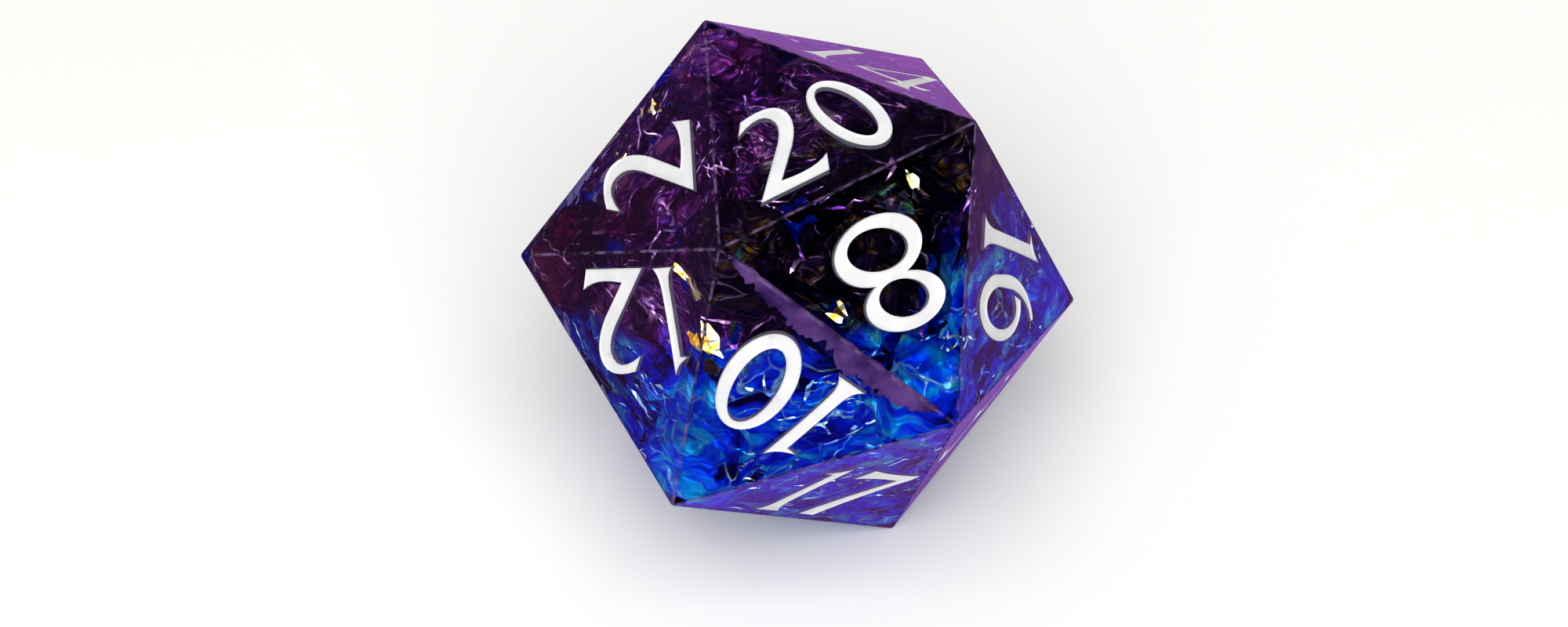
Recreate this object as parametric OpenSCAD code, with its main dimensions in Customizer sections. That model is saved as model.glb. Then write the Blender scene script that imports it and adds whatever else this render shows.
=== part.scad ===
// Twenty-sided gaming die, sharp-edged, cast in clear tinted resin.
// The resin holds loose scraps of crumpled colour-shifting film, and every face
// carries an engraved number that is filled with white paint.
// It stands on its face 1 with face 20 on top, and +Y runs towards the corner
// that the 20 points at. Opposite faces add up to 21.

/* [Die] */
// Distance between opposite faces
across_flats = 20; // [12:1:60]

/* [Numbers] */
// Height of a digit, as a share of the face-to-face size
digit_share = 0.26; // [0.18:0.01:0.27]
// Widest a two-digit number may be, as a share of the face-to-face size
width_share = 0.31; // [0.2:0.01:0.32]
// Depth of the engraving, as a share of the face-to-face size
engrave_share = 0.0225; // [0.015:0.0025:0.03]
// Share of the engraving that the paint fills
paint_fill = 0.95; // [0.5:0.02:0.96]
// Space between two digits, in tenths of a digit's height
digit_gap = 1.4; // [0.8:0.1:2]

/* [Film] */
// How much of the room below its face a scrap takes up at most
scrap_fill = 0.94; // [0.5:0.02:0.96]
// How deep the tears in a scrap's outline go, as a share of its reach
tear = 0.26; // [0:0.02:0.5]
// Depth of the outer scraps below their faces, as a share of the face-to-face size
outer_depth = 0.085; // [0.08:0.005:0.1]
// Depth of the inner scraps below their faces, as a share of the face-to-face size
inner_depth = 0.225; // [0.21:0.005:0.24]
// Thickness of the film, as a share of the face-to-face size
film_share = 0.004; // [0.003:0.0005:0.006]
// Height of the crumples, as a share of the face-to-face size
crumple_share = 0.011; // [0.004:0.001:0.012]
// Steepest lean of a scrap against its face, in degrees
max_lean = 6; // [0:1:6]

/* [Hidden] */
in_r = across_flats / 2;                  // centre to face
cap_r = in_r * (3 - sqrt(5));             // middle of a face to its corners
belt_r = cap_r * (1 + sqrt(5)) / 2;       // upright axis to the corners round the waist
middle = [0, 0, in_r];
digit_h = digit_share * across_flats;
number_w = width_share * across_flats;
engrave_depth = engrave_share * across_flats;
grid = 10;                                // digits are drawn this many units high
film_t = film_share * across_flats;
overcut = 1;                              // how far a cutter stands out of the face
spokes = 12;                              // points round a scrap of film
spoke_turn = 11;                          // keeps the spokes off the corners of the face, in degrees
longest_corner = 1.7;                     // a scrap's corners reach this many times its sides
lean_room = 0.045 * across_flats;         // depth that leaning and crumpling may add
fold_l = 0.12 * across_flats;             // from one fold of the film to the next
scraps = 38;                              // scraps large enough to count

// Three corners evenly round the upright axis
function ring(r, z, turn) = [for (i = [0:2]) [r * cos(turn + 120 * i), r * sin(turn + 120 * i), z]];

// The twelve corners, from the top face down to the resting face
CORNERS = concat(
    ring(cap_r, 2 * in_r, 90),
    ring(belt_r, 2 * in_r - cap_r, 150),
    ring(belt_r, cap_r, 90),
    ring(cap_r, 0, 30));

// Each face: its number, its corners with the one that the number points at first,
// where the number's middle lies as a share of the face-to-face size, and its size
FACES = [
    [1, [11, 9, 10], [0, 0], 1],
    [2, [3, 0, 1], [-0.0125, 0], 1],
    [3, [8, 11, 4], [0, 0], 1],
    [4, [6, 5, 0], [0, 0], 1],
    [5, [3, 10, 6], [0, 0], 1],
    [6, [5, 8, 2], [-0.02, 0], 1],
    [7, [7, 11, 10], [0, 0], 1],
    [8, [4, 1, 2], [0, 0.02], 1],
    [9, [5, 9, 8], [-0.02, 0], 1],
    [10, [7, 1, 4], [0.005, 0.01], 1],
    [11, [5, 9, 6], [0, 0], 1],
    [12, [7, 1, 3], [-0.0125, -0.035], 1],
    [13, [6, 9, 10], [0, 0], 1],
    [14, [5, 0, 2], [0.015, 0.03], 1.05],
    [15, [7, 3, 10], [0, 0], 1],
    [16, [8, 2, 4], [-0.005, 0.03], 1.1],
    [17, [4, 7, 11], [0.015, -0.03], 1.02],
    [18, [3, 0, 6], [0, -0.02], 1],
    [19, [8, 11, 9], [0, 0], 1],
    [20, [0, 1, 2], [0, -0.02], 1.2]];

function two_digits(n) = n < 10 ? str("0", n) : str(n);
function number_name(face) = str("numeral_", two_digits(face[0]));

// ---- Places on the die ----

function unit(v) = v / norm(v);
function face_middle(face) = (CORNERS[face[1][0]] + CORNERS[face[1][1]] + CORNERS[face[1][2]]) / 3;
function face_out(face) = unit(face_middle(face) - middle);
function face_up(face) = unit(CORNERS[face[1][0]] - face_middle(face));

// Stands its children on a face: +Z outwards, +Y to the corner that the number points at
module on_face(face) {
    out = face_out(face);
    up = face_up(face);
    side = cross(up, out);
    at = face_middle(face);
    multmatrix([
        [side.x, up.x, out.x, at.x],
        [side.y, up.y, out.y, at.y],
        [side.z, up.z, out.z, at.z]]) children();
}

// A face's corners in the order that turns its outside outwards
function wound(c) =
    cross(CORNERS[c[1]] - CORNERS[c[0]], CORNERS[c[2]] - CORNERS[c[0]]) * (CORNERS[c[0]] - middle) > 0
        ? [c[0], c[2], c[1]] : c;

// ---- Digits, as a broad pen draws them, ten units high on the line y = 0 ----

// One bend from a to c, pulled towards b, without its last point
function bend(a, b, c, n = 6) = [for (i = [0:n - 1]) let (t = i / n)
    (1 - t) * (1 - t) * a + 2 * t * (1 - t) * b + t * t * c];

// Part of an ellipse with radii r about c, tilted, from one angle to another, without its last point
function arc(c, r, tilt, from, to, n = 14) = [for (i = [0:n - 1]) let (
    a = from + (to - from) * i / n,
    x = r[0] * cos(a),
    y = r[1] * sin(a))
    c + [x * cos(tilt) - y * sin(tilt), x * sin(tilt) + y * cos(tilt)]];

module oval(c, r, tilt = 0) {
    polygon(arc(c, r, tilt, 0, 360, 36));
}

module digit_0() {
    difference() {
        oval([0, 5], [3, 5.1], 11);
        oval([-0.1, 5.35], [1.8, 4], 11);
    }
}

module digit_1() {
    polygon(concat(
        bend([-1.5, 0], [-0.5, 0.4], [-0.45, 2.4]),
        [[-0.45, 2.4], [0, 8.4]],
        bend([-1.1, 8.4], [0.5, 8.9], [1.2, 10.2]),
        bend([1.2, 10.2], [0.75, 6], [0.63, 2]),
        bend([0.63, 2], [0.65, 0.6], [1.3, 0.1]),
        [[1.3, 0.1]]));
}

module digit_2() {
    polygon(concat(
        bend([-2.2, 8.2], [1.7, 10.2], [1.85, 7.8]),
        bend([1.85, 7.8], [1.85, 6.9], [0.6, 5.5], 3),
        [[0.6, 5.5], [-4.9, 0], [2.9, 0]],
        bend([3.9, 1.95], [2, 0.75], [-1.7, 1.33]),
        [[-1.7, 1.33]],
        bend([1.6, 4.55], [3.5, 6.6], [3.5, 8.2]),
        bend([3.5, 8.2], [3.4, 10.6], [-1, 9.7], 8),
        [[-1, 9.7]]));
}

module digit_3() {
    polygon(concat(
        [[-2.9, 8]],
        arc([-0.1, 7.55], [2.8, 2.5], 0, 140, -45),
        arc([-0.2, 2.9], [3.4, 2.95], 0, 52, -150),
        [[-3.14, 1.42], [-3.5, 2.5]],
        arc([-0.7, 3.05], [2.3, 2.15], 0, -140, 70),
        [[0.09, 5.07], [-1.4, 5.1], [-1.4, 5.7]],
        arc([-0.5, 7.6], [1.7, 1.75], 0, -60, 140)));
}

module digit_4() {
    difference() {
        polygon(concat(
            bend([-0.2, 0], [0.6, 0.4], [0.7, 2.1]),
            [[0.7, 2.1], [-3.5, 2.1], [0.6, 9.8], [1.5, 10.2]],
            bend([1.5, 10.2], [1.65, 6], [1.8, 2.9]),
            bend([1.8, 2.9], [2.6, 3], [3.3, 3.9], 3),
            [[3.3, 3.9], [2.9, 2.1], [1.85, 2.1]],
            bend([1.85, 2.1], [1.9, 0.4], [2.7, 0]),
            [[2.7, 0]]));
        polygon([[-2.6, 2.75], [0.68, 2.8], [0.6, 8.8]]);
    }
}

module digit_5() {
    polygon(concat(
        [[-2.35, 5.1], [-1.9, 9.9], [2.2, 9.9]],
        bend([2.9, 10.6], [2.3, 8.8], [-1.2, 8.8]),
        [[-1.2, 8.8], [-1.4, 6.4]],
        arc([-0.3, 3.1], [3.3, 3.2], 0, 108, -150),
        [[-3.16, 1.5], [-3.5, 2.5]],
        arc([-0.7, 3.1], [2.2, 2.3], 0, -145, 125)));
}

module digit_6() {
    polygon(concat(
        [[-1.15, 6.1]],
        arc([0, 3.7], [2.6, 3.75], 4, 104, -170, 28),
        arc([1.2, 4.9], [3.8, 5], 0, 180, 97),
        arc([1, 5], [2.6, 4.4], 0, 100, 175),
        arc([0.05, 3.95], [1.65, 2.65], 4, 190, 473, 24)));
}

module digit_7() {
    polygon(concat(
        [[-2.9, 8]],
        bend([-2.2, 10.1], [0.5, 9.5], [2.9, 10.1]),
        [[2.9, 10.1]],
        bend([2.75, 9.2], [0.6, 4.6], [-0.3, 0]),
        [[-0.3, 0]],
        bend([-2, 0], [-0.6, 4.4], [1.5, 8.6]),
        bend([1.5, 8.6], [-0.8, 8.8], [-2.9, 8])));
}

module digit_8() {
    difference() {
        union() {
            oval([-0.35, 7.65], [3.7, 2.4], -6);
            oval([0.05, 2.85], [4.15, 2.85]);
        }
        oval([-0.33, 7.35], [2.25, 1.6], -18);
        oval([0.1, 2.8], [2.75, 1.8], -14);
    }
}

module digit_9() {
    translate([0, 10]) rotate(180) digit_6();
}

module digit(d) {
    if (d == 0) digit_0();
    if (d == 1) digit_1();
    if (d == 2) digit_2();
    if (d == 3) digit_3();
    if (d == 4) digit_4();
    if (d == 5) digit_5();
    if (d == 6) digit_6();
    if (d == 7) digit_7();
    if (d == 8) digit_8();
    if (d == 9) digit_9();
}

// How far each digit reaches to the left and to the right of its own middle
REACH = [[3.2, 3.2], [1.5, 1.3], [4.9, 3.9], [3.5, 3.2], [3.5, 3.3],
    [3.5, 3], [2.6, 2.6], [2.9, 2.9], [4.1, 4.2], [2.6, 2.6]];

function wide(n) = n < 10
    ? REACH[n][0] + REACH[n][1]
    : wide(floor(n / 10)) + digit_gap + wide(n % 10);

// A whole number, its middle at the origin, in digit units
module number_units(n) {
    left = -wide(n) / 2;
    translate([0, -grid / 2]) {
        if (n < 10) {
            translate([left + REACH[n][0], 0]) digit(n);
        } else {
            tens = floor(n / 10);
            ones = n % 10;
            translate([left + REACH[tens][0], 0]) digit(tens);
            translate([-left - REACH[ones][1], 0]) digit(ones);
        }
        // a full stop after the 6 and the 9 tells them apart
        if (n == 6 || n == 9) oval([4.3, 0.7], [0.7, 0.7]);
    }
}

// A face's number in its place and at its size, flat on z = 0
module number_outline(face) {
    n = face[0];
    unit_size = min(digit_h / grid, number_w / wide(n)) * face[3];
    translate(face[2] * across_flats) scale(unit_size) number_units(n);
}

// ---- Scraps of film ----

// A number from 0 to 1 that belongs to scrap i and question q
function chance(i, q) = rands(0, 1, 1, 31 * i + 7 * q + 5)[0];

function is_outer(i) = i < len(FACES);
function film_face(i) = FACES[i % len(FACES)];
function film_depth(i) = (is_outer(i) ? outer_depth : inner_depth) * across_flats;
// Distance from the middle of the face to its sides, once it has shrunk to the scrap's depth
function film_reach(i) = scrap_fill * cap_r / 2 * (1 - (film_depth(i) + lean_room) / in_r);
function film_middle(i) = face_middle(film_face(i)) - film_depth(i) * face_out(film_face(i));

// Blue film went in with the first pour, and the mould stood at a slant for it
function in_first_pour(p) = p.z < 0.57 * across_flats - 0.37 * p.y;
function film_colour(i) =
    !is_outer(i) && i % 3 == 1 ? "amber" : in_first_pour(film_middle(i)) ? "blue" : "violet";
function film_name(i) = str(film_colour(i), "_film_", two_digits(i + 1));

// Height of the crumples at a place on the scrap, from two crossing sets of folds
function zigzag(x) = 4 * abs(x - floor(x) - 0.5) - 1;
function crumple(i, p) = crumple_share * across_flats * (
    0.6 * zigzag(p.x / fold_l + chance(i, 1))
    + 0.4 * zigzag((p.x * cos(70) + p.y * sin(70)) / (0.8 * fold_l) + chance(i, 2)));

// The outline at one spoke: it follows the three sides of the face, with torn bites out of it
function off_side(a) = abs((a + 150) % 120 - 60);
function spoke_reach(i, s, a) =
    film_reach(i) * min(1 / cos(off_side(a)), longest_corner) * (1 - tear * chance(i, 10 + s));
function film_point(i, s, share, side) =
    let (
        a = 360 * s / spokes + spoke_turn,
        p = share * spoke_reach(i, s, a) * [cos(a), sin(a)])
    [p.x, p.y, crumple(i, p) + side * film_t / 2];

// One side of the sheet as a middle point and the rings round it
function ring_shares(i) = is_outer(i) ? [1 / 3, 2 / 3, 1] : [1 / 2, 1];
function sheet_points(i, side) = concat(
    [[0, 0, crumple(i, [0, 0]) + side * film_t / 2]],
    [for (share = ring_shares(i)) for (s = [0:spokes - 1]) film_point(i, s, share, side)]);

module scrap(i) {
    rings = len(ring_shares(i));
    per_side = 1 + rings * spokes;
    at = function (ring, s) 1 + ring * spokes + s % spokes;
    hub = [for (s = [0:spokes - 1]) [0, at(0, s + 1), at(0, s)]];
    bands = [for (ring = [1:rings - 1]) for (s = [0:spokes - 1]) each [
        [at(ring - 1, s), at(ring - 1, s + 1), at(ring, s)],
        [at(ring - 1, s + 1), at(ring, s + 1), at(ring, s)]]];
    upper = concat(hub, bands);
    lower = [for (f = upper) [f[0] + per_side, f[2] + per_side, f[1] + per_side]];
    edge = rings - 1;
    rim = [for (s = [0:spokes - 1]) each [
        [at(edge, s), at(edge, s + 1), at(edge, s) + per_side],
        [at(edge, s + 1), at(edge, s + 1) + per_side, at(edge, s) + per_side]]];
    on_face(film_face(i))
        translate([0, 0, -film_depth(i)])
            rotate([max_lean * (2 * chance(i, 3) - 1), max_lean * (2 * chance(i, 4) - 1), 0])
                polyhedron(
                    points = concat(sheet_points(i, 1), sheet_points(i, -1)),
                    faces = concat(upper, lower, rim),
                    convexity = 4);
}

// ---- The pieces ----

// The one casting: pockets for the numbers, and the resin closed round every scrap
module resin_body() {
    color("rebeccapurple")
        difference() {
            polyhedron(points = CORNERS, faces = [for (face = FACES) wound(face[1])]);
            for (face = FACES)
                on_face(face)
                    translate([0, 0, -engrave_depth])
                        linear_extrude(engrave_depth + overcut) number_outline(face);
            for (i = [0:scraps - 1]) scrap(i);
        }
}

// White paint that has dried in the bottom of a number's pocket
module numeral(face) {
    color("white")
        on_face(face)
            translate([0, 0, -engrave_depth])
                linear_extrude(engrave_depth * paint_fill) number_outline(face);
}

// One scrap of colour-shifting film, held by the resin round it
module film(i) {
    tint = film_colour(i) == "blue" ? "royalblue" : film_colour(i) == "amber" ? "goldenrod" : "mediumorchid";
    color(tint) scrap(i);
}

resin_body();
for (face = FACES) numeral(face);
for (i = [0:scraps - 1]) film(i);
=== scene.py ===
import math
import random

import bmesh
import bpy
from mathutils import Matrix, Vector, noise


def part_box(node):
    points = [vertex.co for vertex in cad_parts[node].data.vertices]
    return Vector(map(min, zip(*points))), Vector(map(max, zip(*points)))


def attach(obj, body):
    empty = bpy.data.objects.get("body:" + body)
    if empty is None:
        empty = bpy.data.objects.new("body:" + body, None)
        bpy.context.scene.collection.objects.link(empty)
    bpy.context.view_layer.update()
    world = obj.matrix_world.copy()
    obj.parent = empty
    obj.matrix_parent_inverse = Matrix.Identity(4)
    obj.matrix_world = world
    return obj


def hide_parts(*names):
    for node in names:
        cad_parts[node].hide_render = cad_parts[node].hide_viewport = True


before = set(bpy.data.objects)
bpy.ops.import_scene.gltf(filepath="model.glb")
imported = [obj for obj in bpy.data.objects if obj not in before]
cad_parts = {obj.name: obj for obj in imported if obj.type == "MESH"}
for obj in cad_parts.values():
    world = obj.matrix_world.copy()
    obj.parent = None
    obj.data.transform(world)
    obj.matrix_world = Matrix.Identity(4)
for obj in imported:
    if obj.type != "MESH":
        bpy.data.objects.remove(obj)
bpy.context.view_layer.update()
mm = 0.001

# ---- Camera ----
# A long lens that looks down on the die from its front left, so that the facets keep
# their true shapes.
aim = Vector((-1.25, -0.65, 8.98)) * mm
azimuth, elevation = math.radians(-33.21), math.radians(50.28)
distance = 264.1 * mm
focal_length = 136.24

lens = bpy.data.cameras.new("studio_camera")
lens.lens = focal_length
lens.clip_start = 10 * mm
camera = bpy.data.objects.new("studio_camera", lens)
back = Vector((
    math.sin(azimuth) * math.cos(elevation),
    -math.cos(azimuth) * math.cos(elevation),
    math.sin(elevation)))
camera.location = aim + back * distance
camera.rotation_euler = back.to_track_quat("Z", "Y").to_euler()
bpy.context.collection.objects.link(camera)
bpy.context.scene.camera = camera
bpy.context.scene.view_settings.view_transform = "Standard"


# ---- Resin body ----
# One casting of clear violet resin. Its faces are polished flat up to crisp edges, which wear
# dull in the hand, and each face has a sunk number that came from the mould.
class Wire:
    """A shader socket that takes part in sums."""

    def __init__(self, finish, socket):
        self.finish, self.socket = finish, socket

    def maths(self, operation, *others, flip=False):
        values = [self, *others]
        if flip:
            values.reverse()
        made = self.finish.node("ShaderNodeMath", {"operation": operation}, dict(enumerate(values)))
        return made["Value"]

    def __add__(self, other):
        return self.maths("ADD", other)

    def __sub__(self, other):
        return self.maths("SUBTRACT", other)

    def __mul__(self, other):
        return self.maths("MULTIPLY", other)

    def __rsub__(self, other):
        return self.maths("SUBTRACT", other, flip=True)

    __radd__, __rmul__ = __add__, __mul__


class Finish:
    """A material, or the room's light, under construction."""

    def __init__(self, name, library=bpy.data.materials, output="ShaderNodeOutputMaterial"):
        self.made = library.new(name)
        self.made.use_nodes = True
        self.tree = self.made.node_tree
        self.tree.nodes.clear()
        self.output = self.tree.nodes.new(output)

    def node(self, kind, settings=None, sockets=None):
        """Adds a node and gives its outputs, each under its name and its identifier."""
        made = self.tree.nodes.new(kind)
        for name, value in (settings or {}).items():
            if name == "stops":
                while len(made.color_ramp.elements) < len(value):
                    made.color_ramp.elements.new(0.5)
                for stop, (place, colour) in zip(made.color_ramp.elements, value):
                    stop.position, stop.color = place, (*colour, 1)
            else:
                setattr(made, name, value)
        for name, value in (sockets or {}).items():
            if isinstance(value, Wire):
                self.tree.links.new(value.socket, made.inputs[name])
            else:
                made.inputs[name].default_value = value
        wires = {s.identifier: Wire(self, s) for s in made.outputs}
        return wires | {s.name: Wire(self, s) for s in made.outputs}

    def show(self, surface, volume=None):
        self.tree.links.new(surface.socket, self.output.inputs["Surface"])
        if volume:
            self.tree.links.new(volume.socket, self.output.inputs["Volume"])
        return self.made


resin_ior = 1.5
dye_colour, dye_density = (0.50, 0.35, 0.90, 1), 95.0
gloss_colour = (0.55, 0.2, 0.85, 1)
chalk_colour = (0.40, 0.22, 0.52, 1)
edge_round = 0.07 * mm
cutter_rise = 1.0 * mm
same_point = 0.001 * mm


def through_resin(finish):
    """Light bends on its way in, and the violet dye takes some of it up."""
    bends = finish.node("ShaderNodeBsdfRefraction", sockets={
        "Color": (1, 1, 1, 1), "Roughness": 0.0, "IOR": resin_ior})["BSDF"]
    dye = finish.node("ShaderNodeVolumeAbsorption", sockets={
        "Color": dye_colour, "Density": dye_density})["Volume"]
    return bends, dye


def resin_finish():
    """Polished resin, with a violet gloss that grows as the view gets shallow."""
    finish = Finish("violet_resin")
    bends, dye = through_resin(finish)
    mirrors = finish.node("ShaderNodeBsdfAnisotropic", sockets={
        "Color": gloss_colour, "Roughness": 0.02})["BSDF"]
    angled = finish.node("ShaderNodeFresnel", sockets={"IOR": resin_ior})["Fac"]
    share = finish.node("ShaderNodeMapRange", sockets={
        "Value": angled, "From Min": 0.035, "From Max": 1.0})["Result"]
    surface = finish.node("ShaderNodeMixShader", sockets={0: share, 1: bends, 2: mirrors})["Shader"]
    return finish.show(surface, dye)


def worn_edge_finish():
    """The same resin where handling has dulled it."""
    finish = Finish("worn_edge")
    bends, dye = through_resin(finish)
    place = finish.node("ShaderNodeTexCoord")["Object"]
    nicks = finish.node("ShaderNodeTexNoise", sockets={
        "Vector": place, "Scale": 1800.0, "Detail": 3.0})["Fac"]
    dulled = finish.node("ShaderNodeMapRange", sockets={
        "Value": nicks, "From Min": 0.42, "From Max": 0.66, "To Min": 0.02, "To Max": 0.3})["Result"]
    chalk = finish.node("ShaderNodeBsdfPrincipled", sockets={
        "Base Color": chalk_colour, "Roughness": 0.5})["BSDF"]
    surface = finish.node("ShaderNodeMixShader", sockets={0: dulled, 1: bends, 2: chalk})["Shader"]
    return finish.show(surface, dye)


def object_from(bm, name, material):
    """Turns a finished mesh into an object at the origin."""
    mesh = bpy.data.meshes.new(name)
    bm.to_mesh(mesh)
    bm.free()
    mesh.materials.append(material)
    made = bpy.data.objects.new(name, mesh)
    bpy.context.collection.objects.link(made)
    return made


low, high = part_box("resin_body")
die_height = high.z - low.z
die_middle = Vector((0, 0, die_height / 2))


def upright_icosahedron():
    """Face up, with a corner of the top face towards +Y, at the die's height."""
    bm = bmesh.new()
    bmesh.ops.create_icosphere(bm, subdivisions=1, radius=1.0)
    bm.faces.ensure_lookup_table()
    top = bm.faces[0]
    out = top.normal.copy()
    up = (top.verts[0].co - top.calc_center_median()).normalized()
    turn = Matrix((up.cross(out), up, out)).to_4x4()
    bmesh.ops.transform(bm, matrix=turn, verts=bm.verts)
    scale = die_height / (max(v.co.z for v in bm.verts) * 2)
    bmesh.ops.scale(bm, vec=(scale,) * 3, verts=bm.verts)
    bmesh.ops.translate(bm, vec=die_middle, verts=bm.verts)
    return bm


body_mesh = upright_icosahedron()
body_mesh.normal_update()
facets = [(f.calc_center_median(), f.normal.copy()) for f in body_mesh.faces]
bmesh.ops.bevel(
    body_mesh, geom=body_mesh.edges[:], offset=edge_round, offset_type="OFFSET", segments=3,
    profile=0.5, affect="EDGES", material=-1)


def nearest_facet(point):
    """The middle of the die's face that the point lies under, and the way out of that face."""
    return max(facets, key=lambda facet: (point - die_middle).dot(facet[1]))


def middle_of(verts):
    return sum((v.co for v in verts), Vector()) / len(verts)


# The moulded numbers cut the body, and each stands a little out of its face to cut it cleanly.
number_nodes = [f"numeral_{n:02d}" for n in range(1, 21)]
cutters = bmesh.new()
for name in number_nodes:
    first = len(cutters.verts)
    cutters.from_mesh(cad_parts[name].data)
    cutters.verts.ensure_lookup_table()
    plug = cutters.verts[first:]
    facet_middle, out = nearest_facet(middle_of(plug))
    depths = [(v.co - facet_middle).dot(out) for v in plug]
    halfway = (min(depths) + max(depths)) / 2
    for v, depth in zip(plug, depths):
        if depth > halfway:
            v.co += out * cutter_rise
bmesh.ops.remove_doubles(cutters, verts=cutters.verts[:], dist=same_point)
resin = resin_finish()
cutter = object_from(cutters, "number_cutter", resin)
body_mesh.normal_update()
polished, worn = 0, 1
for face in body_mesh.faces:
    flatness = max(face.normal.dot(out) for _, out in facets)
    face.material_index = polished if flatness > 0.9999 else worn
body = object_from(body_mesh, "cast_body", resin)
body.data.materials.append(worn_edge_finish())
cut = body.modifiers.new("sunk numbers", "BOOLEAN")
cut.object = cutter
cut.solver = "EXACT"
cut_mesh = bpy.data.meshes.new_from_object(body.evaluated_get(bpy.context.evaluated_depsgraph_get()))
body.modifiers.clear()
body.data = cut_mesh
bpy.data.objects.remove(cutter)
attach(body, "root")
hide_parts("resin_body")


# ---- Numbers ----
# White acrylic paint, laid in the sunk numbers by hand and wiped off level. It shrinks as it
# dries, so that it dips between the edges.
def paint_finish():
    finish = Finish("number_paint")
    place = finish.node("ShaderNodeTexCoord")["Object"]
    cloud = finish.node("ShaderNodeTexNoise", sockets={
        "Vector": place, "Scale": 700.0, "Detail": 4.0})["Fac"]
    grain = finish.node("ShaderNodeTexNoise", sockets={
        "Vector": place, "Scale": 6000.0, "Detail": 2.0})["Fac"]
    colour = finish.node("ShaderNodeValToRGB", {"stops": [
        (0.35, (0.66, 0.66, 0.67)), (0.65, (0.74, 0.74, 0.74))]}, {"Fac": cloud})["Color"]
    bump = finish.node("ShaderNodeBump", sockets={
        "Strength": 0.3, "Distance": 0.02 * mm, "Height": grain})["Normal"]
    surface = finish.node("ShaderNodeBsdfPrincipled", sockets={
        "Base Color": colour, "Roughness": cloud * 0.3 + 0.4, "Normal": bump})["BSDF"]
    return finish.show(surface)


paint = paint_finish()
paint_overlap = 0.01 * mm
dip_width, dip_depth = 0.09 * mm, 0.07 * mm
for name in number_nodes:
    bm = bmesh.new()
    bm.from_mesh(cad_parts[name].data)
    bmesh.ops.remove_doubles(bm, verts=bm.verts[:], dist=same_point)
    bm.normal_update()
    for v in bm.verts:
        v.co += v.normal * paint_overlap
    _, out = nearest_facet(middle_of(bm.verts))
    top = [f for f in bm.faces if f.normal.dot(out) > 0.99]
    bmesh.ops.inset_region(bm, faces=top, thickness=dip_width, depth=-dip_depth, use_boundary=True)
    piece = object_from(bm, "paint_" + name[-2:], paint)
    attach(piece, "root")
    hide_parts(name)


# ---- Film scraps ----
# Thin colour-shifting film, crumpled by hand and torn, then stirred into the resin: blue in the
# first pour, violet in the second. Painted shade darkens it nearly to black on the side of the 8
# and near one corner, painted highlight lines run along its creases, and the film under the pour
# line has a faint painted glow.
pour_level, pour_lean = 11.4 * mm, 0.37
# Painted shade: film lying far towards this side, under the face with the 8, is darkened nearly to black
shade_side = (0.12, -0.667, 0.745)
# Painted shade: near this corner the film is darkened to a near-black maroon
shaded_corner, corner_shade_colour = (-0.0077, 0.0092, 0.0154), (0.05, 0.002, 0.008, 1)
blue_stops = [
    (0.36, (0.000, 0.000, 0.03)), (0.42, (0.00, 0.01, 0.55)), (0.48, (0.00, 0.03, 1.00)),
    (0.55, (0.00, 0.12, 1.00)), (0.62, (0.00, 0.45, 0.95)), (0.70, (0.12, 0.85, 0.95))]
violet_stops = [
    (0.34, (0.014, 0.000, 0.006)), (0.43, (0.10, 0.012, 0.08)), (0.50, (0.22, 0.03, 0.28)),
    (0.57, (0.06, 0.02, 0.24)), (0.63, (0.30, 0.05, 0.20)), (0.72, (0.65, 0.25, 0.65))]
# Colours of the painted shade on the side of the 8: nearly black, with a few dim specks
shaded_stops = [
    (0.40, (0.000, 0.000, 0.002)), (0.52, (0.008, 0.003, 0.02)), (0.58, (0.06, 0.03, 0.00)),
    (0.63, (0.01, 0.04, 0.10)), (0.70, (0.10, 0.30, 0.05))]
amber_stops = [
    (0.34, (0.05, 0.01, 0.00)), (0.45, (0.90, 0.50, 0.06)), (0.52, (1.00, 0.88, 0.45)),
    (0.60, (0.35, 0.60, 0.06)), (0.70, (0.95, 0.40, 0.65))]
# Painted highlights: bright colours laid along the film's creases
cyan_crease_highlight, pink_crease_highlight, gold_crease_highlight = (0.35, 0.95, 1.0), (0.75, 0.42, 0.9), (1.0, 0.9, 0.6)
# Painted glow: the film gives off a little light of its own, as though lit from behind
painted_film_glow = 0.05


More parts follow.
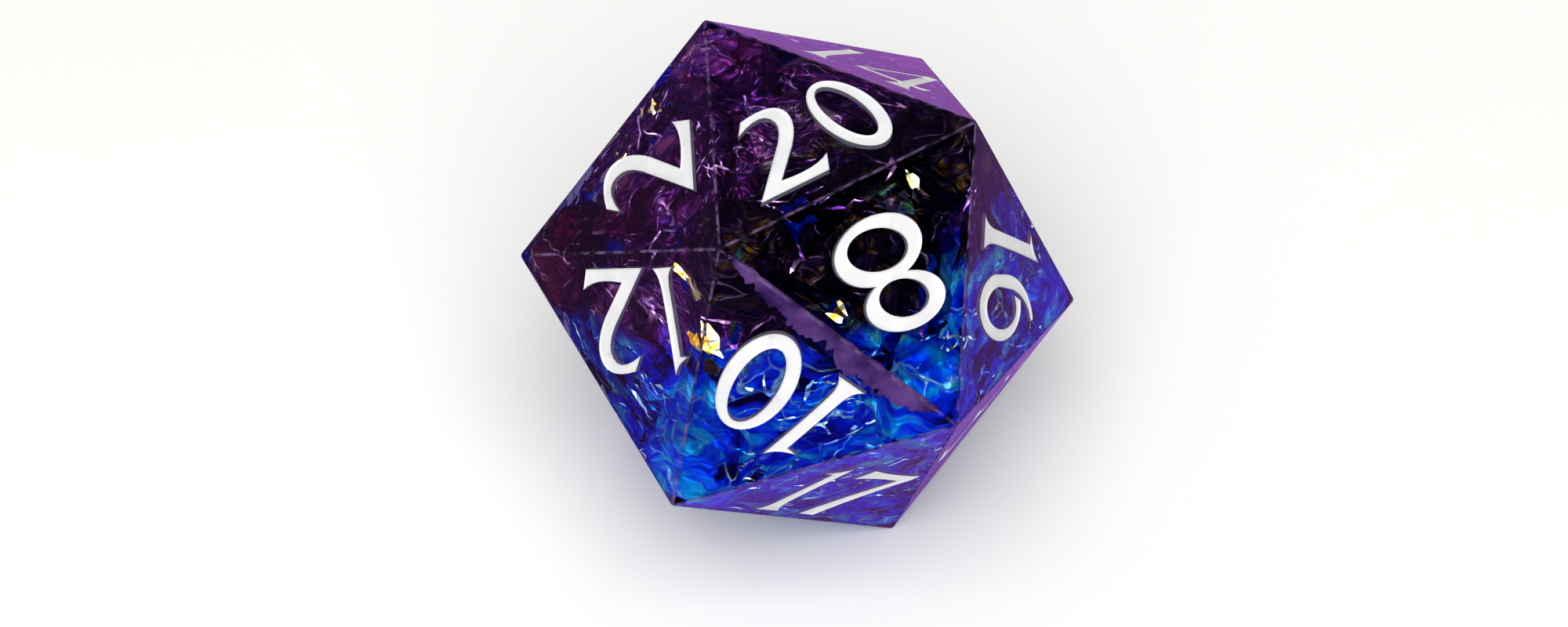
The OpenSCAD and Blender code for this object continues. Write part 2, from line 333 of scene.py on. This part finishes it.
def film_finish(name, seed, low_stops, high_stops, shaded_stops, low_crease_highlight, high_crease_highlight, glow):
    """Film that is coloured by where it lies, under the pour line or over it, with painted shade on the
    side of the 8 and near one corner, painted highlight lines on its creases and a faint painted glow.
    """
    finish = Finish(name)
    place = finish.node("ShaderNodeTexCoord")["Object"]
    drift = finish.node("ShaderNodeTexNoise", {"noise_dimensions": "4D"}, {
        "Vector": place, "W": seed, "Scale": 260.0, "Detail": 2.0})["Color"]
    swirl = finish.node("ShaderNodeVectorMath", {"operation": "MULTIPLY_ADD"}, {
        0: drift, 1: (6 * mm,) * 3, 2: place})["Vector"]
    layers = finish.node("ShaderNodeMapping", sockets={"Vector": swirl, "Scale": (1.0, 1.0, 2.3)})["Vector"]
    level = finish.node("ShaderNodeVectorMath", {"operation": "DOT_PRODUCT"}, {
        0: swirl, 1: (0.0, pour_lean, 1.0)})["Value"]
    upper = finish.node("ShaderNodeMapRange", sockets={
        "Value": level, "From Min": pour_level + 3.9 * mm, "From Max": pour_level + 5.1 * mm})["Result"]
    # Painted shade mask: 1 where the film lies far towards the side of the 8
    depth = finish.node("ShaderNodeVectorMath", {"operation": "DOT_PRODUCT"}, {
        0: swirl, 1: shade_side})["Value"]
    shade_mask = finish.node("ShaderNodeMapRange", sockets={
        "Value": depth, "From Min": 12.8 * mm, "From Max": 14.4 * mm})["Result"]
    # Painted shade mask: grows towards the corner given above
    reach = finish.node("ShaderNodeVectorMath", {"operation": "DISTANCE"}, {
        0: swirl, 1: shaded_corner})["Value"]
    corner_shade = finish.node("ShaderNodeMapRange", sockets={
        "Value": reach, "From Min": 8.5 * mm, "From Max": 4.6 * mm})["Result"]
    clouds = finish.node("ShaderNodeTexNoise", sockets={
        "Vector": layers, "Scale": 300.0, "Detail": 5.0, "Roughness": 0.6})["Fac"]
    fray = finish.node("ShaderNodeTexNoise", sockets={
        "Vector": place, "Scale": 900.0, "Detail": 3.0})["Color"]
    torn = finish.node("ShaderNodeVectorMath", {"operation": "MULTIPLY_ADD"}, {
        0: fray, 1: (0.8 * mm,) * 3, 2: place})["Vector"]
    lie = finish.node("ShaderNodeMapping", sockets={
        "Vector": torn, "Rotation": (0.5, 0.3, 0.9), "Scale": (0.7, 1.0, 1.7)})["Vector"]
    flakes = finish.node("ShaderNodeTexVoronoi", sockets={"Vector": lie, "Scale": 560.0})["Color"]
    flake = finish.node("ShaderNodeVectorMath", {"operation": "DOT_PRODUCT"}, {
        0: flakes, 1: (1.0, 0.0, 0.0)})["Value"]
    tone = clouds + flake * 0.16 - 0.08
    low_film = finish.node("ShaderNodeValToRGB", {"stops": low_stops}, {"Fac": tone})["Color"]
    high_film = finish.node("ShaderNodeValToRGB", {"stops": high_stops}, {"Fac": tone})["Color"]
    shaded_film = finish.node("ShaderNodeValToRGB", {"stops": shaded_stops}, {"Fac": tone})["Color"]
    top_film = finish.node("ShaderNodeMix", {"data_type": "RGBA"}, {
        0: shade_mask, 6: high_film, 7: shaded_film})["Result_Color"]
    poured_film = finish.node("ShaderNodeMix", {"data_type": "RGBA"}, {
        0: upper, 6: low_film, 7: top_film})["Result_Color"]
    film_colour = finish.node("ShaderNodeMix", {"data_type": "RGBA"}, {
        0: corner_shade * 0.95, 6: poured_film, 7: corner_shade_colour})["Result_Color"]
    # Painted highlight lines along the creases, fewer in the painted shade and over the pour line
    crease_highlight_colour = finish.node("ShaderNodeMix", {"data_type": "RGBA"}, {
        0: upper, 6: (*low_crease_highlight, 1), 7: (*high_crease_highlight, 1)})["Result_Color"]
    gap = finish.node("ShaderNodeTexVoronoi", {"feature": "DISTANCE_TO_EDGE"}, {
        "Vector": layers, "Scale": 420.0})["Distance"]
    line = finish.node("ShaderNodeMapRange", sockets={
        "Value": gap, "From Min": 0.042, "From Max": 0.0})["Result"]
    patchy = finish.node("ShaderNodeTexNoise", sockets={
        "Vector": place, "Scale": 420.0, "Detail": 2.0})["Fac"]
    shown = finish.node("ShaderNodeMapRange", sockets={
        "Value": patchy, "From Min": 0.44, "From Max": 0.6})["Result"]
    colour = finish.node("ShaderNodeMix", {"data_type": "RGBA"}, {
        0: line * shown * (1.0 - shade_mask * upper * 0.75) * (1.0 - upper * 0.35),
        6: film_colour, 7: crease_highlight_colour})["Result_Color"]
    wrinkle = finish.node("ShaderNodeTexNoise", sockets={
        "Vector": layers, "Scale": 1300.0, "Detail": 3.0})["Fac"]
    facet = finish.node("ShaderNodeTexVoronoi", {"feature": "DISTANCE_TO_EDGE"}, {
        "Vector": layers, "Scale": 1000.0})["Distance"]
    bump = finish.node("ShaderNodeBump", sockets={
        "Strength": 0.6, "Distance": 0.4 * mm, "Height": facet + wrinkle * 0.15 - line * 0.1})["Normal"]
    # Painted glow: film under the pour line gives off its own colour as light
    painted_glow_colour = finish.node("ShaderNodeMix", {"data_type": "RGBA"}, {
        0: upper, 6: low_film, 7: (0, 0, 0, 1)})["Result_Color"]
    surface = finish.node("ShaderNodeBsdfPrincipled", sockets={
        "Base Color": colour, "Metallic": upper * 0.5 + 0.5, "Roughness": 0.42 - line * 0.2,
        "Normal": bump, "Specular IOR Level": 0.0, "Emission Color": painted_glow_colour,
        "Emission Strength": glow})["BSDF"]
    return finish.show(surface)


films = {
    "violet": film_finish(
        "violet_film", 1.0, blue_stops, violet_stops, shaded_stops, cyan_crease_highlight, pink_crease_highlight, painted_film_glow),
    "blue": film_finish(
        "blue_film", 2.0, blue_stops, violet_stops, shaded_stops, cyan_crease_highlight, pink_crease_highlight, painted_film_glow),
    "amber": film_finish(
        "amber_film", 3.0, amber_stops, amber_stops, amber_stops, gold_crease_highlight, gold_crease_highlight, 0.0),
}


def crease(point, size, seed):
    """Dents between sharp ridges, as a height that is 0 on the ridges."""
    spot = point / size + Vector((seed, -seed, 2 * seed))
    distances, _ = noise.voronoi(spot)
    return distances[0] - distances[1]


def refine(bm, rounds):
    """Nets the mesh with triangles fine enough to crumple."""
    for _ in range(rounds):
        long_edges = [e for e in bm.edges if e.calc_length() > longest_edge]
        bmesh.ops.subdivide_edges(bm, edges=long_edges, cuts=1)
        bmesh.ops.triangulate(bm, faces=bm.faces[:])


def film_piece(bm, name, material, smooth=False, thickness=None):
    """A finished piece of film. A thickness is for bare sheets."""
    for face in bm.faces:
        face.smooth = smooth
    piece = object_from(bm, name, material)
    if thickness:
        piece.modifiers.new("film", "SOLIDIFY").thickness = thickness
    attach(piece, "root")
    return piece


longest_edge = 0.22 * mm
film_gauge = 0.02 * mm
ridge_rise = 0.3
scrap_folds = [(0.55 * mm, 2.8 * mm), (0.16 * mm, 0.9 * mm)]
for name, node in sorted(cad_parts.items()):
    if "_film_" not in name:
        continue
    kind, seed = name.split("_")[0], float(name[-2:])
    bm = bmesh.new()
    bm.from_mesh(node.data)
    bmesh.ops.remove_doubles(bm, verts=bm.verts[:], dist=same_point)
    refine(bm, 5)
    _, out = nearest_facet(middle_of(bm.verts))
    for v in bm.verts:
        v.co += out * sum(height * (crease(v.co, size, seed) + ridge_rise) for height, size in scrap_folds)
    piece = film_piece(bm, "crumpled_" + name, films[kind], smooth=True)
    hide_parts(name)


# ---- Film core ----
# The largest sheet of film, wadded up in the middle of the mould before the resin is poured,
# and torn through in places.
def small_icosahedron(share):
    """The die's shape at a share of its size, about its middle, in a fine net of triangles."""
    bm = upright_icosahedron()
    bmesh.ops.scale(bm, vec=(share,) * 3, verts=bm.verts[:], space=Matrix.Translation(-die_middle))
    refine(bm, 6)
    return bm


core_share = 0.7
tear_size, tear_level = 1.6 * mm, 0.28
core_mesh = small_icosahedron(core_share)
torn = [f for f in core_mesh.faces if noise.noise(f.calc_center_median() / tear_size) > tear_level]
bmesh.ops.delete(core_mesh, geom=torn, context="FACES")
for v in core_mesh.verts:
    way = (v.co - die_middle).normalized()
    large = 0.9 * mm * (crease(v.co, 2.2 * mm, 7.0) + ridge_rise)
    small = 0.25 * mm * crease(v.co, 0.8 * mm, 8.0)
    v.co += way * (large + small)
film_piece(core_mesh, "film_core", films["violet"], smooth=True, thickness=film_gauge)


# ---- Corner wads ----
# The same film again, poked down into the twelve points of the mould, so that the corners of
# the die don't come out clear.
corner_ways = [(v.co - die_middle).normalized() for v in upright_icosahedron().verts]
wad_share, wad_reach = 0.2, 9.4 * mm
wads = small_icosahedron(wad_share)
pattern_verts = wads.verts[:]
pattern = pattern_verts + wads.edges[:] + wads.faces[:]
for way in corner_ways:
    copied = bmesh.ops.duplicate(wads, geom=pattern)["geom"]
    for v in copied:
        if isinstance(v, bmesh.types.BMVert):
            outward = (v.co - die_middle).normalized()
            v.co += way * wad_reach
            v.co += outward * 0.4 * mm * (crease(v.co, 1.5 * mm, 5.0) + ridge_rise)
            v.co += outward * 0.12 * mm * crease(v.co, 0.6 * mm, 6.0)
bmesh.ops.delete(wads, geom=pattern_verts, context="VERTS")
film_piece(wads, "corner_wads", films["blue"], smooth=True)


# ---- Film slivers ----
# Shards of bare film that came off in the crumpling. They drift to the walls of the mould, lie
# nearly flat there and flash. Gold flecks gather in a few places near the top.
def sliver_finish(name, stops):
    finish = Finish(name)
    place = finish.node("ShaderNodeTexCoord")["Object"]
    shift = finish.node("ShaderNodeTexNoise", sockets={
        "Vector": place, "Scale": 900.0, "Detail": 2.0})["Fac"]
    colour = finish.node("ShaderNodeValToRGB", {"stops": stops}, {"Fac": shift})["Color"]
    surface = finish.node("ShaderNodeBsdfPrincipled", sockets={
        "Base Color": colour, "Metallic": 1.0, "Roughness": 0.34 - shift * 0.3})["BSDF"]
    return finish.show(surface)


sliver_finishes = {
    "violet": sliver_finish("violet_sliver", [(0.42, (0.12, 0.02, 0.25)), (0.56, (0.75, 0.40, 0.85))]),
    "blue": sliver_finish("blue_sliver", [(0.42, (0.00, 0.20, 0.95)), (0.56, (0.60, 1.00, 1.00))]),
    "amber": sliver_finish("amber_sliver", [
        (0.38, (0.90, 0.40, 0.02)), (0.45, (1.00, 0.80, 0.20)), (0.52, (1.00, 0.97, 0.70)),
        (0.72, (0.80, 0.90, 0.25))]),
}


def on_wall(point, depth):
    """The place at this depth under the face that the point is nearest, and the way out of it."""
    middle, out = nearest_facet(point)
    way = (point - die_middle).normalized()
    reach = (middle - die_middle).dot(out) - depth
    return die_middle + way * (reach / way.dot(out)), out


def jitter(spread):
    """A small shift in no special direction."""
    return Vector([draw.gauss(0, spread) for _ in range(3)])


def add_sliver(bm, point, out, grain, length, width, curl, wall):
    """A crooked shard with pointed ends that lies flat to out and runs with the grain.

    It is added, and the answer is True, only where the resin over it is thicker than the wall.
    """
    across = out.cross(grain).normalized()
    along = across.cross(out)
    lie = Matrix((along, across, out)).transposed().to_4x4()
    shard = bmesh.new()
    bmesh.ops.create_grid(shard, x_segments=7, y_segments=1, size=0.5)
    widest = draw.uniform(-0.35, 0.35)  # where along the shard it is widest
    for v in shard.verts:
        v.co.y *= 1 - 0.9 * abs(v.co.x - widest) / (0.5 + abs(widest))
    bmesh.ops.scale(shard, vec=(length, width, 1), verts=shard.verts[:])
    tilt = Matrix.Rotation(draw.gauss(0, 0.25), 4, "X")
    bmesh.ops.transform(shard, matrix=Matrix.Translation(point) @ lie @ tilt, verts=shard.verts[:])
    for v in shard.verts:
        step = noise.noise_vector(v.co / curl_size)
        v.co += (across * step.x + out * step.y) * curl
    covered = all((v.co - middle).dot(way) < -wall for v in shard.verts for middle, way in facets)
    if covered:
        shard.to_mesh(shard_mesh)
        bm.from_mesh(shard_mesh)
    shard.free()
    return covered


shard_mesh = bpy.data.meshes.new("shard")
draw = random.Random(20)
noise.seed_set(20)
sliver_counts = {"violet": 180, "blue": 420, "amber": 14}
sliver_curl, sliver_wall = 0.18 * mm, 0.55 * mm
curl_size = 0.45 * mm
glance = Vector((-0.41, -0.64, 1.09))  # shards that face this way catch the lamp
flecks_per_spot = 3
fleck_curl, fleck_wall = 0.06 * mm, 0.15 * mm
gold_grain = Vector((0.37, -0.83, -0.41))
# Where each group of gold flecks lies, in millimetres, and how large its flecks are
gold_spots = [
    (-6.9, -2.2, 17.1, 1.0), (-6.9, -3.0, 17.2, 1.5), (-3.1, 6.4, 16.8, 0.8), (3.1, -4.0, 18.5, 0.8),
    (-7.4, -4.2, 14.8, 1.1), (-2.7, -6.8, 16.1, 0.7)]
for kind, count in sliver_counts.items():
    bm = bmesh.new()
    made = 0
    while made < count:
        point, out = on_wall(die_middle + jitter(1).normalized() * mm, draw.uniform(0.8, 1.9) * mm)
        is_blue = point.z < pour_level - pour_lean * point.y
        if is_blue != (kind == "blue"):
            continue
        flat = (out + glance * draw.uniform(0, 1.2 if is_blue else 0.6)).normalized()
        grain = out.cross(Vector((0, 0, 1))) + jitter(0.35)
        length, width = draw.uniform(0.6, 2.1) * mm, draw.uniform(0.08, 0.2) * mm
        made += add_sliver(bm, point, flat, grain, length, width, sliver_curl, sliver_wall)
    if kind == "amber":
        draw = random.Random(3)
        for *spot, size in gold_spots:
            flecks = 0
            while flecks < flecks_per_spot:
                point = (Vector(spot) + jitter(0.22)) * mm
                flat = (glance + nearest_facet(point)[1] * 0.9 + jitter(0.16)).normalized()
                grain = gold_grain + jitter(0.25)
                length, width = draw.uniform(0.8, 1.3) * size * mm, draw.uniform(0.3, 0.6) * size * mm
                flecks += add_sliver(bm, point, flat, grain, length, width, fleck_curl, fleck_wall)
    bmesh.ops.triangulate(bm, faces=bm.faces[:])
    film_piece(bm, kind + "_slivers", sliver_finishes[kind], thickness=film_gauge)
bpy.data.meshes.remove(shard_mesh)


# ---- Edge fold ----
# One narrow strip of violet film that slid down the wall of the mould and came to rest under
# the edge between the 8 and the 10. One side of it is torn.
def fold_finish():
    finish = Finish("edge_fold")
    place = finish.node("ShaderNodeTexCoord")["Object"]
    cloud = finish.node("ShaderNodeTexNoise", sockets={
        "Vector": place, "Scale": 500.0, "Detail": 6.0})["Fac"]
    colour = finish.node("ShaderNodeValToRGB", {"stops": fold_stops}, {"Fac": cloud})["Color"]
    surface = finish.node("ShaderNodeBsdfPrincipled", sockets={
        "Base Color": colour, "Roughness": cloud * 0.4 + 0.3, "Specular IOR Level": 0.0})["BSDF"]
    return finish.show(surface)


fold_stops = [(0.38, (0.04, 0.015, 0.12)), (0.50, (0.12, 0.05, 0.26)), (0.62, (0.24, 0.11, 0.42))]
fold_start = Vector((-6.13, -3.98, 19.46)) * mm
fold_end = Vector((-0.30, -11.49, 12.74)) * mm
fold_width, fold_dent, dent_size = 0.9 * mm, 0.15 * mm, 0.7 * mm
way_out_of_10 = Vector((-0.577, -0.745, 0.333))
_, fold_out = nearest_facet(die_middle + way_out_of_10 * mm)
fold_way = (fold_end - fold_start).normalized()
fold_across = fold_way.cross(fold_out)
fold_mesh = bmesh.new()
bmesh.ops.create_grid(fold_mesh, x_segments=90, y_segments=6, size=0.5)
for v in fold_mesh.verts:
    along, side = v.co.x + 0.5, v.co.y + 0.5
    bites = 0.7 * noise.noise(Vector((along * 9, 0, 3)))
    nibbles = 0.6 * noise.noise(Vector((along * 40, 0, 5)))
    taper = 1 - abs(2 * v.co.x) ** 5
    spread = fold_width * (0.7 + 0.7 * along) * (1 + bites + nibbles) * taper
    v.co = fold_start + fold_way * along * (fold_end - fold_start).length + fold_across * side * spread
    v.co += fold_out * fold_dent * crease(v.co, dent_size, 9.0)
film_piece(fold_mesh, "edge_fold", fold_finish(), thickness=film_gauge)


# ---- Studio ----
# A plain white table under one large soft lamp. The room round it is even and white, apart from
# a dark patch that the face with the 8 mirrors.
def table_finish():
    finish = Finish("white_table")
    surface = finish.node("ShaderNodeBsdfPrincipled", sockets={
        "Base Color": (0.83, 0.825, 0.805, 1), "Roughness": 0.9, "Specular IOR Level": 0.1})["BSDF"]
    return finish.show(surface)


table_reach = 3.0
table_mesh = bmesh.new()
bmesh.ops.create_grid(table_mesh, x_segments=1, y_segments=1, size=table_reach)
table = object_from(table_mesh, "table", table_finish())

lamp = bpy.data.lights.new("overhead_softbox", "AREA")
lamp.energy = 2.85
lamp.size = 0.5
softbox = bpy.data.objects.new("overhead_softbox", lamp)
softbox.location = (-0.12, -0.19, 0.40)
softbox.rotation_euler = softbox.location.to_track_quat("Z", "Y").to_euler()
bpy.context.collection.objects.link(softbox)

room = Finish("room", bpy.data.worlds, "ShaderNodeOutputWorld")
outlook = room.node("ShaderNodeTexCoord")["Generated"]
dark_patch = (0.37, -0.70, 0.61)
toward_dark = room.node("ShaderNodeVectorMath", {"operation": "DOT_PRODUCT"}, {
    0: outlook, 1: dark_patch})["Value"]
brightness = room.node("ShaderNodeMapRange", sockets={
    "Value": toward_dark, "From Min": 0.95, "From Max": 0.60, "To Min": 0.05, "To Max": 0.5})["Result"]
sky = room.node("ShaderNodeBackground", sockets={
    "Color": (1, 1, 1, 1), "Strength": brightness})["Background"]
bpy.context.scene.world = room.show(sky)
